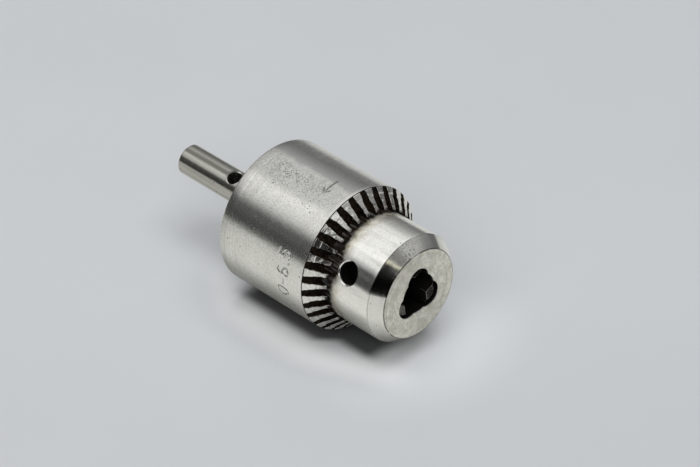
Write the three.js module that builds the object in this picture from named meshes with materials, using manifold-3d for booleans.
// Keyed three-jaw drill chuck on a straight shank.
// Millimetres, +X from the shank end towards the nose, +Z up, origin at the centre of the shank's
// end face. The pieces are modelled with x = 0 at the sleeve's rear plane.
// The body carries three inclined jaw bores. A split nut sits in a groove of the body, and the
// sleeve is pressed over the nut, so turning the sleeve drives the three threaded jaws along
// their bores.
import * as THREE from "three";
import { mergeVertices, toCreasedNormals } from "three/addons/utils/BufferGeometryUtils.js";
import Module from "manifold-3d";

const wasm = await Module();
wasm.setup();
const { degToRad, radToDeg } = THREE.MathUtils;

// ---------------------------------------------------------------- shared dimensions
// Angles round the axis start straight up (+Z) and turn by the right hand about +X,
// so 90 degrees is -Y.
const FULL_TURN = 2 * Math.PI;
const SLEEVE_REAR_X = 24.75; // sleeve's rear plane, from the shank end
const SLEEVE_BORE_R = 13.5; // bore that is pressed over the split nut
const OVERRUN = 1; // how far a bore's cutter runs past the face it opens in

const NOSE_R = 11.1;
const NOSE_FACE = 38.24;
const BODY_REAR = 0.4;
const NUT_GROOVE = { rear: 16.2, front: 22.2 };
const MOUTH_FLOOR = 13.2; // floor of the nose's central bore
const SOCKET_R = 4.0; // takes the shank's spigot
const BODY_PHASE = degToRad(2.1); // first jaw bore

const JAWS = 3;
const JAW_ANGLE = degToRad(14); // between the jaw's axis and the chuck's
const JAW_CROSS_R = 2.74; // jaw axis radius in the plane of the nose face
const JAW_R = 2.62;
const JAW_TAIL = 33.1; // along the jaw axis, measured rearwards from the nose face plane
const sinJaw = Math.sin(JAW_ANGLE);
const cosJaw = Math.cos(JAW_ANGLE);

// ---------------------------------------------------------------- geometry helpers
// A closed three.js geometry as a solid: vertices merged, collapsed faces dropped,
// faces turned outwards.
function solid(geometry) {
  const bare = new THREE.BufferGeometry();
  bare.setAttribute("position", geometry.getAttribute("position").clone());
  if (geometry.index) bare.setIndex(geometry.index.clone());
  const merged = mergeVertices(bare, 1e-4);
  const position = merged.attributes.position;
  const index = merged.index.array;
  const corners = [new THREE.Vector3(), new THREE.Vector3(), new THREE.Vector3()];
  const faces = [];
  let volume = 0; // six times the signed volume
  for (let i = 0; i < index.length; i += 3) {
    const face = [index[i], index[i + 1], index[i + 2]];
    if (new Set(face).size < 3) continue;
    faces.push(face);
    const [p, q, s] = corners.map((corner, j) => corner.fromBufferAttribute(position, face[j]));
    volume += p.dot(q.cross(s));
  }
  const outward = faces.flatMap(([a, b, c]) => (volume < 0 ? [a, c, b] : [a, b, c]));
  return new wasm.Manifold(
    new wasm.Mesh({
      numProp: 3,
      vertProperties: new Float32Array(position.array),
      triVerts: new Uint32Array(outward),
    }),
  );
}

function geometryOf(manifold) {
  const { vertProperties, triVerts } = manifold.getMesh();
  const geometry = new THREE.BufferGeometry();
  geometry.setAttribute("position", new THREE.BufferAttribute(vertProperties, 3));
  geometry.setIndex(new THREE.BufferAttribute(triVerts, 1));
  return toCreasedNormals(geometry, degToRad(25));
}

// Profile of [x, radius] pairs, revolved about +X. A profile that doesn't start and end
// on the axis is closed into a ring.
function turned(profile, segments) {
  const onAxis = profile[0][1] === 0 && profile.at(-1)[1] === 0;
  const outline = onAxis ? profile : [...profile, profile[0]];
  const points = outline.map(([x, radius]) => new THREE.Vector2(radius, x));
  const geometry = new THREE.LatheGeometry(points, segments);
  geometry.rotateZ(-Math.PI / 2);
  return solid(geometry);
}

// Straight cylinder or cone between two points.
function rod(start, end, startR, endR, segments) {
  const from = new THREE.Vector3(...start);
  const to = new THREE.Vector3(...end);
  const length = from.distanceTo(to);
  const direction = to.sub(from).normalize();
  const up = new THREE.Vector3(0, 1, 0);
  const geometry = new THREE.CylinderGeometry(endR, startR, length, segments);
  geometry.translate(0, length / 2, 0);
  geometry.applyQuaternion(new THREE.Quaternion().setFromUnitVectors(up, direction));
  geometry.translate(...start);
  return solid(geometry);
}

// Cone that widens the mouth of a hole along Z. It starts `depth` below the surface, `inset`
// narrower than the hole, and ends `height` above it, `flare` wider. Side -1 is at -Z.
function countersink(x, surfaceR, holeR, sink, segments, side = 1) {
  return rod(
    [x, 0, side * (surfaceR - sink.depth)],
    [x, 0, side * (surfaceR + sink.height)],
    holeR - sink.inset,
    holeR + sink.flare,
    segments,
  );
}

function block(size, centre) {
  const geometry = new THREE.BoxGeometry(...size);
  geometry.translate(...centre);
  return solid(geometry);
}

// Skin over a row of equal closed sections, with flat ends.
function swept(sections) {
  const count = sections[0].length;
  const last = (sections.length - 1) * count;
  const index = [];
  for (let row = 0; row < last; row += count) {
    for (let j = 0; j < count; j++) {
      const here = row + j;
      const next = row + ((j + 1) % count);
      index.push(here, here + count, next, next, here + count, next + count);
    }
  }
  for (let j = 1; j + 1 < count; j++) {
    index.push(0, j, j + 1);
    index.push(last, last + j + 1, last + j);
  }
  const points = new Float32Array(sections.flat(2));
  const geometry = new THREE.BufferGeometry();
  geometry.setAttribute("position", new THREE.BufferAttribute(points, 3));
  geometry.setIndex(index);
  return solid(geometry);
}

const turnX = (manifold, angle) => manifold.rotate([radToDeg(angle), 0, 0]);

const evenAngles = (count, first) =>
  Array.from({ length: count }, (_, i) => first + (i * FULL_TURN) / count);

// Cuts the same tool out of a piece at each angle round the axis.
const cutRound = (piece, tool, angles) =>
  angles.reduce((rest, angle) => rest.subtract(turnX(tool, angle)), piece);

// ---------------------------------------------------------------- conical thread
// `along` runs rearwards along the jaw from the nose face plane; `height` is measured outwards
// from the jaw's outermost line.
const PITCH = 1.5; // along the jaw axis, per turn of the sleeve
const THREAD_START = 17.0; // a thread crest of the nut crosses straight up here
const FLANK = 0.466; // tan 25 deg
const WIDTH_HEIGHT = -0.3; // height at which the ridge and groove half-widths hold

const coneX = (along, height) => NOSE_FACE - along * cosJaw + (JAW_R + height) * sinJaw;
const coneR = (along, height) => JAW_CROSS_R + along * sinJaw + (JAW_R + height) * cosJaw;
const coneAlong = (x, height) => (NOSE_FACE + (JAW_R + height) * sinJaw - x) / cosJaw;
// Right-hand helix about +X: it moves towards the nose as the angle grows.
const helixAlong = (angle, turn) => THREAD_START + PITCH * (turn - angle / FULL_TURN);
const flankHalf = (half, height) => half + (height - WIDTH_HEIGHT) * FLANK;

// ---------------------------------------------------------------- body
const BODY_SEGMENTS = 72;
const BODY_REAR_R = 13.2;
const BODY_REAR_CHAMFER = 0.7;
const NUT_GROOVE_R = 8.4;
const NOSE_CHAMFER_START = 35.61;
const NOSE_FACE_R = 9.17;
const MOUTH = { radius: 4.07, floorR: 3.5, floorChamfer: 0.6, chamfer: 0.25, chamferOverrun: 0.05 };
const SOCKET_END = 11.0;
const SOCKET_CHAMFER = 0.5;
const SCREW_HOLE_R = 1.75;
const JAW_BORE_R = JAW_R + 0.08;
const JAW_BORE_TAIL_ROOM = 0.7; // behind the jaw's tail
const JAW_BORE_OVERRUN = 6; // beyond the nose face
const KEY_HOLES = 3; // halfway between the jaw bores
const KEY_HOLE = { x: 29.4, radius: 2.15, floorR: 6.0, overrun: 2, segments: 24 };
const KEY_SINK = { depth: 0.528, height: 0.66, inset: 0.066, flare: 1.122 };

const jawAngles = evenAngles(JAWS, BODY_PHASE);
const keyAngles = evenAngles(KEY_HOLES, BODY_PHASE + Math.PI / 3);

function bodyBlank() {
  return turned(
    [
      [BODY_REAR, 0],
      [BODY_REAR, BODY_REAR_R - BODY_REAR_CHAMFER],
      [BODY_REAR + BODY_REAR_CHAMFER, BODY_REAR_R],
      [NUT_GROOVE.rear, BODY_REAR_R],
      [NUT_GROOVE.rear, NUT_GROOVE_R],
      [NUT_GROOVE.front, NUT_GROOVE_R],
      [NUT_GROOVE.front, NOSE_R],
      [NOSE_CHAMFER_START, NOSE_R],
      [NOSE_FACE, NOSE_FACE_R],
      [NOSE_FACE, 0],
    ],
    BODY_SEGMENTS,
  );
}

function mouthBore() {
  const { radius, floorR, floorChamfer, chamfer, chamferOverrun } = MOUTH;
  const rimR = radius + chamfer + chamferOverrun;
  return turned(
    [
      [MOUTH_FLOOR, 0],
      [MOUTH_FLOOR, floorR],
      [MOUTH_FLOOR + floorChamfer, radius],
      [NOSE_FACE - chamfer, radius],
      [NOSE_FACE + chamferOverrun, rimR],
      [NOSE_FACE + OVERRUN, rimR],
      [NOSE_FACE + OVERRUN, 0],
    ],
    36,
  );
}

function socketBore() {
  return turned(
    [
      [BODY_REAR - OVERRUN, 0],
      [BODY_REAR - OVERRUN, SOCKET_R + SOCKET_CHAMFER],
      [BODY_REAR, SOCKET_R + SOCKET_CHAMFER],
      [BODY_REAR + SOCKET_CHAMFER, SOCKET_R],
      [SOCKET_END, SOCKET_R],
      [SOCKET_END, 0],
    ],
    32,
  );
}

function screwHole() {
  return turned(
    [
      [SOCKET_END - OVERRUN, 0],
      [SOCKET_END - OVERRUN, SCREW_HOLE_R],
      [MOUTH_FLOOR + OVERRUN, SCREW_HOLE_R],
      [MOUTH_FLOOR + OVERRUN, 0],
    ],
    24,
  );
}

function jawBore() {
  const axisAt = (along) => [NOSE_FACE - along * cosJaw, 0, JAW_CROSS_R + along * sinJaw];
  const tail = axisAt(JAW_TAIL + JAW_BORE_TAIL_ROOM);
  return rod(tail, axisAt(-JAW_BORE_OVERRUN), JAW_BORE_R, JAW_BORE_R, 28);
}

function keyHole() {
  const { x, radius, floorR, overrun, segments } = KEY_HOLE;
  const hole = rod([x, 0, floorR], [x, 0, NOSE_R + overrun], radius, radius, segments);
  return hole.add(countersink(x, NOSE_R, radius, KEY_SINK, segments));
}

function chuckBody() {
  const bored = bodyBlank().subtract(mouthBore()).subtract(socketBore()).subtract(screwHole());
  return cutRound(cutRound(bored, jawBore(), jawAngles), keyHole(), keyAngles);
}

// ---------------------------------------------------------------- sleeve with its bevel teeth
const SLEEVE_SEGMENTS = 120; // four to a tooth
const SLEEVE_R = 14.8;
const SLEEVE_FRONT_BORE_R = NOSE_R + 0.08; // runs on the body's nose
const SLEEVE_REAR_CHAMFER = 0.25;
const SLEEVE_BORE_CHAMFER = 0.5;
// Bevel stations: [x, radius].
const BEVEL_START = [22.5, SLEEVE_R];
const BEVEL_STEP = [[23.27, 13.98], [23.37, 13.74]]; // between the outer bevel and the tooth face
const BEVEL_END = [25.6, 11.62]; // inner end of the tooth crests
const BEVEL_END_LAND = 0.12; // flat front edge
const FRONT_BORE_END = 24.9; // from here the front bore opens out to that edge

const TEETH = 30;
const TOOTH_PHASE = degToRad(-3.9); // first groove
const TOOTH = {
  rootX: 22.28, // where a groove's root meets the sleeve's outside
  rootSlope: 0.48, // axial advance of the root per mm inwards
  widthAtR: 13, // radius at which the half-widths hold; a groove widens with the radius
  rootHalf: 0.5, // flat of the root
  shoulderHeight: 0.2, // where the root's bevel meets the flank
  shoulderHalf: 0.68,
  flank: 0.09, // half-width gained per mm of height
  topHeight: 3.4,
  outerR: 16.5, // ends of the cutter
  innerR: 9.6,
};

// Cutter for one groove: it runs inwards along the root line and opens away from the root.
function toothCutter() {
  const { rootSlope, rootHalf, shoulderHeight, shoulderHalf, topHeight } = TOOTH;
  const slopeLength = Math.hypot(1, rootSlope);
  const topHalf = shoulderHalf + TOOTH.flank * (topHeight - shoulderHeight);
  const section = (radius) => {
    const rootX = TOOTH.rootX + (SLEEVE_R - radius) * rootSlope;
    const at = (height, half) => [
      rootX + height / slopeLength,
      (half * radius) / TOOTH.widthAtR,
      radius + (height * rootSlope) / slopeLength,
    ];
    return [
      at(0, -rootHalf),
      at(0, rootHalf),
      at(shoulderHeight, shoulderHalf),
      at(topHeight, topHalf),
      at(topHeight, -topHalf),
      at(shoulderHeight, -shoulderHalf),
    ];
  };
  return swept([section(TOOTH.outerR), section(TOOTH.innerR)]);
}

function toothedSleeve() {
  const blank = turned(
    [
      [0, SLEEVE_R - SLEEVE_REAR_CHAMFER],
      [SLEEVE_REAR_CHAMFER, SLEEVE_R],
      BEVEL_START,
      ...BEVEL_STEP,
      BEVEL_END,
      [BEVEL_END[0], BEVEL_END[1] - BEVEL_END_LAND],
      [FRONT_BORE_END, SLEEVE_FRONT_BORE_R],
      [NUT_GROOVE.front, SLEEVE_FRONT_BORE_R],
      [NUT_GROOVE.front, SLEEVE_BORE_R],
      [SLEEVE_BORE_CHAMFER, SLEEVE_BORE_R],
      [0, SLEEVE_BORE_R + SLEEVE_BORE_CHAMFER],
    ],
    SLEEVE_SEGMENTS,
  );
  return cutRound(blank, toothCutter(), evenAngles(TEETH, TOOTH_PHASE));
}

// ---------------------------------------------------------------- split nut
const NUT_SEGMENTS = 60;
const NUT_SIDE_CLEARANCE = 0.08; // to each wall of the body's groove
const NUT_REAR = NUT_GROOVE.rear + NUT_SIDE_CLEARANCE;
const NUT_FRONT = NUT_GROOVE.front - NUT_SIDE_CLEARANCE;
const NUT_OUTER_R = SLEEVE_BORE_R - 0.03;
const NUT_CHAMFER = 0.2;
const NUT_SPLIT_HALF_GAP = 0.05;
const NUT_THREAD = {
  ridgeHalf: 0.31,
  crestHeight: -0.6,
  cutHeight: -0.72, // the cutter starts inside the nut's bore
  rootHeight: 0.15,
  turns: 6.3,
  startTurn: 5,
  stepsPerTurn: 30,
};

// Helical cutter for the space between the nut's ridges.
function nutThreadCutter() {
  const { ridgeHalf, cutHeight, rootHeight, turns, startTurn, stepsPerTurn } = NUT_THREAD;
  const sections = [];
  for (let i = 0; i <= turns * stepsPerTurn; i++) {
    const angle = (i * FULL_TURN) / stepsPerTurn;
    const middle = helixAlong(angle, startTurn) + PITCH / 2;
    const at = (height, side) => {
      const along = middle + side * (PITCH / 2 - flankHalf(ridgeHalf, height));
      const radius = coneR(along, height);
      return [coneX(along, height), -radius * Math.sin(angle), radius * Math.cos(angle)];
    };
    sections.push([at(cutHeight, -1), at(rootHeight, -1), at(rootHeight, 1), at(cutHeight, 1)]);
  }
  return swept(sections);
}

function wholeNut() {
  const boreRAt = (x) => coneR(coneAlong(x, NUT_THREAD.crestHeight), NUT_THREAD.crestHeight);
  const blank = turned(
    [
      [NUT_REAR, NUT_OUTER_R - NUT_CHAMFER],
      [NUT_REAR + NUT_CHAMFER, NUT_OUTER_R],
      [NUT_FRONT - NUT_CHAMFER, NUT_OUTER_R],
      [NUT_FRONT, NUT_OUTER_R - NUT_CHAMFER],
      [NUT_FRONT, boreRAt(NUT_FRONT)],
      [NUT_REAR, boreRAt(NUT_REAR)],
    ],
    NUT_SEGMENTS,
  );
  return blank.subtract(nutThreadCutter());
}

// Side 1 is the upper half, -1 the lower.
function nutHalf(nut, side) {
  const height = 20; // the block holds the whole half
  const centreX = (NUT_REAR + NUT_FRONT) / 2;
  const centreZ = side * (height / 2 + NUT_SPLIT_HALF_GAP);
  return nut.intersect(block([20, 40, height], [centreX, 0, centreZ]));
}

// ---------------------------------------------------------------- jaws
// Each in its own frame: on the bore's axis, +X towards the tip, +Z outwards, origin in the
// nose face plane.
const JAW_TAIL_CHAMFER = 0.35;
const JAW_TIP = { along: 1.05, radius: 2.05, chamferLength: 0.6 };
const JAW_TRAVEL = 13.5; // back from closed
const JAW_CLOSED_GAP = 0.05;
const JAW_RIDGE_R = JAW_TRAVEL * sinJaw + JAW_CLOSED_GAP; // gripping ridge, from the chuck's axis
const GRIP_CUT = { halfWidth: 5, bottomZ: -6, behindNose: 20, beyondNose: 4 };
const JAW_THREAD = {
  grooveHalf: 0.41,
  rootHeight: -0.75,
  topHeight: 0.42,
  meanR: 10.0, // the nut's mean thread radius, at WIDTH_HEIGHT
  halfSpan: degToRad(15),
  firstTurn: -2,
  endTurn: 14,
  front: 15.6, // limits of the grooves along the jaw
  rear: JAW_TAIL + 0.9,
};

function toJawFrame(x, y, z) {
  const dx = x - NOSE_FACE;
  const dz = z - JAW_CROSS_R;
  return [dx * cosJaw - dz * sinJaw, y, dx * sinJaw + dz * cosJaw];
}

function jawBlank() {
  return turned(
    [
      [-JAW_TAIL, 0],
      [-JAW_TAIL, JAW_R - JAW_TAIL_CHAMFER],
      [-JAW_TAIL + JAW_TAIL_CHAMFER, JAW_R],
      [-JAW_TIP.along - JAW_TIP.chamferLength, JAW_R],
      [-JAW_TIP.along, JAW_TIP.radius],
      [-JAW_TIP.along, 0],
    ],
    24,
  );
}

// Leaves the gripping faces: two planes, 60 deg either side of the radial, that meet in a
// ridge parallel to the chuck's axis.
function gripCutter() {
  const { halfWidth, bottomZ, behindNose, beyondNose } = GRIP_CUT;
  const sideZ = JAW_RIDGE_R + halfWidth / Math.sqrt(3);
  const section = (x) => [
    toJawFrame(x, 0, JAW_RIDGE_R),
    toJawFrame(x, halfWidth, sideZ),
    toJawFrame(x, halfWidth, bottomZ),
    toJawFrame(x, -halfWidth, bottomZ),
    toJawFrame(x, -halfWidth, sideZ),
  ];
  return swept([section(NOSE_FACE - behindNose), section(NOSE_FACE + beyondNose)]);
}

// Section of a jaw's groove, at an angle off the jaw's middle. Every groove is curved to the
// nut's mean cone, so that it suits the whole travel.
function jawGrooveSection(middle, offAngle) {
  const { grooveHalf, rootHeight, topHeight } = JAW_THREAD;
  const at = (height, side) => {
    const along = middle + side * flankHalf(grooveHalf, height);
    const radius = coneR(along, height);
    const meanR = JAW_THREAD.meanR + (height - WIDTH_HEIGHT) * cosJaw;
    const angle = offAngle * (radius / meanR);
    const sag = meanR * (1 - Math.cos(angle));
    return toJawFrame(coneX(along, height), -meanR * Math.sin(angle), radius - sag);
  };
  return [at(rootHeight, -1), at(topHeight, -1), at(topHeight, 1), at(rootHeight, 1)];
}

// The thread is arcs of the nut's conical helix, with clearance, across the outer side.
// It depends on the jaw's angle round the chuck.
function threadedJaw(jawAngle) {
  const { halfSpan, firstTurn, endTurn, front, rear } = JAW_THREAD;
  let jaw = jawBlank().subtract(gripCutter());
  for (let turn = firstTurn; turn < endTurn; turn++) {
    const stations = [-halfSpan, 0, halfSpan].map((offAngle) => ({
      offAngle,
      middle: helixAlong(jawAngle + offAngle, turn),
    }));
    if (stations.some(({ middle }) => middle < front || middle > rear)) continue;
    const sections = stations.map(({ middle, offAngle }) => jawGrooveSection(middle, offAngle));
    jaw = jaw.subtract(swept(sections));
  }
  return jaw;
}

// ---------------------------------------------------------------- shank
const SHANK_R = 3.175;
const SHANK_CHAMFER = 0.35;
const COLLAR = { rear: -2.2, front: BODY_REAR - 0.05, radius: 5.6, rearChamfer: 0.4, frontChamfer: 0.3 };
const SPIGOT = { radius: SOCKET_R - 0.1, end: 10.6, chamfer: 0.5 };
const RELIEF = { depth: 0.45, end: BODY_REAR + 1.3 }; // neck between collar and spigot
const SPIGOT_HOLE = { floor: 4.4, floorTaper: 0.5, radius: 1.6, chamfer: 0.3, chamferOverrun: 0.1 };
const CROSS_HOLE = { x: -10.65, radius: 1.5, angle: degToRad(16.3), halfLength: 5, segments: 20 };
const CROSS_SINK = { depth: 0.55, height: 0.4, inset: 0.15, flare: 0.5 };

function shankBlank() {
  const neckR = SPIGOT.radius - RELIEF.depth;
  return turned(
    [
      [-SLEEVE_REAR_X, 0],
      [-SLEEVE_REAR_X, SHANK_R - SHANK_CHAMFER],
      [-SLEEVE_REAR_X + SHANK_CHAMFER, SHANK_R],
      [COLLAR.rear, SHANK_R],
      [COLLAR.rear, COLLAR.radius - COLLAR.rearChamfer],
      [COLLAR.rear + COLLAR.rearChamfer, COLLAR.radius],
      [COLLAR.front - COLLAR.frontChamfer, COLLAR.radius],
      [COLLAR.front, COLLAR.radius - COLLAR.frontChamfer],
      [COLLAR.front, neckR],
      [RELIEF.end, neckR],
      [RELIEF.end + RELIEF.depth, SPIGOT.radius],
      [SPIGOT.end - SPIGOT.chamfer, SPIGOT.radius],
      [SPIGOT.end, SPIGOT.radius - SPIGOT.chamfer],
      [SPIGOT.end, 0],
    ],
    32,
  );
}

function spigotHole() {
  const { floor, floorTaper, radius, chamfer, chamferOverrun } = SPIGOT_HOLE;
  const rimR = radius + chamfer + chamferOverrun;
  return turned(
    [
      [floor, 0],
      [floor + floorTaper, radius],
      [SPIGOT.end - chamfer, radius],
      [SPIGOT.end + chamferOverrun, rimR],
      [SPIGOT.end + OVERRUN, rimR],
      [SPIGOT.end + OVERRUN, 0],
    ],
    24,
  );
}

function crossHole() {
  const { x, radius, angle, halfLength, segments } = CROSS_HOLE;
  let hole = rod([x, 0, -halfLength], [x, 0, halfLength], radius, radius, segments);
  for (const side of [1, -1])
    hole = hole.add(countersink(x, SHANK_R, radius, CROSS_SINK, segments, side));
  return turnX(hole, angle);
}

const drilledShank = () => shankBlank().subtract(spigotHole()).subtract(crossHole());

// ---------------------------------------------------------------- retaining screw
const SCREW = { end: 6.2, radius: 1.5, chamfer: 0.4 };
const HEAD = { rear: MOUTH_FLOOR + 0.05, front: MOUTH_FLOOR + 2.55, radius: 3.1, chamfer: 0.3 };
const SLOT = { depth: 1.1, width: 0.9, length: 8, overrun: 0.1 };

function retainingScrew() {
  const blank = turned(
    [
      [SCREW.end, 0],
      [SCREW.end, SCREW.radius - SCREW.chamfer],
      [SCREW.end + SCREW.chamfer, SCREW.radius],
      [HEAD.rear, SCREW.radius],
      [HEAD.rear, HEAD.radius],
      [HEAD.front - HEAD.chamfer, HEAD.radius],
      [HEAD.front, HEAD.radius - HEAD.chamfer],
      [HEAD.front, 0],
    ],
    24,
  );
  const cut = SLOT.depth + SLOT.overrun;
  const slotX = HEAD.front - SLOT.depth + cut / 2;
  return blank.subtract(block([cut, SLOT.length, SLOT.width], [slotX, 0, 0]));
}

// ---------------------------------------------------------------- scene graph
const steel = ({ color, roughness }) =>
  new THREE.MeshStandardMaterial({ color, roughness, metalness: 1 });
const satin = steel({ color: 0xc3c2bb, roughness: 0.38 });
const turnedFace = steel({ color: 0xb9b8b0, roughness: 0.42 });
const ground = steel({ color: 0xb5b1a6, roughness: 0.22 });
const hardened = steel({ color: 0x9a9890, roughness: 0.32 });
const nutSteel = steel({ color: 0x8f8d86, roughness: 0.4 });

function add(parent, name, manifold, material) {
  const mesh = new THREE.Mesh(geometryOf(manifold), material);
  mesh.name = name;
  parent.add(mesh);
  return mesh;
}

const chuck = new THREE.Group();
const working = new THREE.Group(); // everything measured from the sleeve's rear plane
working.position.x = SLEEVE_REAR_X;
chuck.add(working);
add(working, "chuck_body", chuckBody(), turnedFace);
add(working, "shank", drilledShank(), ground);
add(working, "retaining_screw", retainingScrew(), hardened);

const turning = new THREE.Group(); // turns as one on the body
working.add(turning);
const nut = wholeNut();
add(turning, "sleeve", toothedSleeve(), satin);
add(turning, "nut_half_upper", nutHalf(nut, 1), nutSteel);
add(turning, "nut_half_lower", nutHalf(nut, -1), nutSteel);

jawAngles.forEach((angle, i) => {
  const seat = new THREE.Group();
  seat.rotation.x = angle;
  const mesh = add(seat, `jaw_${i + 1}`, threadedJaw(angle), hardened);
  mesh.position.set(NOSE_FACE, 0, JAW_CROSS_R);
  mesh.rotation.y = JAW_ANGLE;
  working.add(seat);
});

export default chuck;
